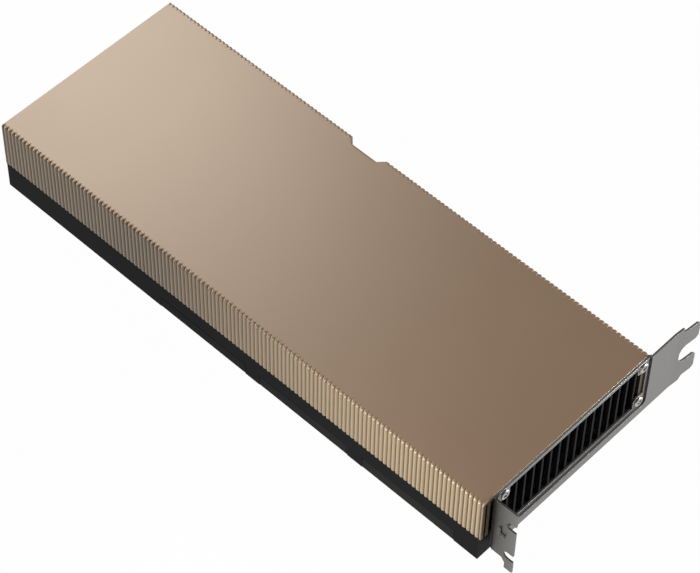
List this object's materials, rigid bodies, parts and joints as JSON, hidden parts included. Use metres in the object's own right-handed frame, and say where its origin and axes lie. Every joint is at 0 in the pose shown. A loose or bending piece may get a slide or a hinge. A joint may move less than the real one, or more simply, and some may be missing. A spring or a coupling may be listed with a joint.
{
  "type": "passive accelerator card",
  "caption": "Full-height dual-slot add-in card: ribbed metal shroud open at both ends for the server's air, slotted bracket vent, slot edge connector.",
  "frame": {"origin": "the slot edge's key notch: middle of the notch, at the contacts' tips, half way through the board", "axes": "+X towards the bracket along the card's length, +Y out of the slot edge, +Z from the board up to the shroud's top"},
  "size_m": [0.2795, 0.125, 0.0398],
  "materials": {
    "gold_shroud": "bead-blasted, anodised warm gold-brown",
    "black_frame": "satin black",
    "black_cover": "matt black",
    "board": "dark solder mask over glass fibre",
    "gold_contacts": "bright gold plate",
    "carrier": "matt green laminate",
    "plated_steel": "nickel plated",
    "silicon": "polished silicon",
    "moulding": "matt black moulding compound",
    "paste": "grey paste",
    "ferrite": "matt dark grey ferrite",
    "capacitor_body": "moulded polymer, matt",
    "soft_pad": "soft grey-blue pad",
    "copper": "bare copper, satin",
    "fins": "extruded, satin",
    "backplate": "black anodised sheet",
    "film": "matt black film",
    "bracket_steel": "satin stainless",
    "black_grille": "satin black",
    "black_connector": "black nylon",
    "black_screw": "black oxide",
    "bright_screw": "zinc plated"
  },
  "bodies": {
    "root": {"shroud": "gold_shroud", "base_frame": "black_frame", "link_cover_front": "black_cover", "link_cover_middle": "black_cover", "link_cover_rear": "black_cover", "circuit_board": "board", "edge_contacts": "gold_contacts", "package_carrier": "carrier", "package_stiffener": "plated_steel", "processor_die": "silicon", "memory_stacks": "moulding", "thermal_paste": "paste", "power_inductors": "ferrite", "power_stages": "moulding", "bulk_capacitors": "capacitor_body", "control_chips": "moulding", "coil_thermal_pads": "soft_pad", "vapour_chamber": "copper", "fin_stack": "fins", "backplate": "backplate", "insulator_film": "film", "bracket": "bracket_steel", "vent_frame": "bracket_steel", "vent_grille": "black_grille", "power_inlet": "black_connector", "power_pins": "gold_contacts", "shroud_screws": "black_screw", "cooler_screws": "bright_screw", "lug_screws": "bright_screw", "vent_screws": "bright_screw"}
  },
  "joints": []
}
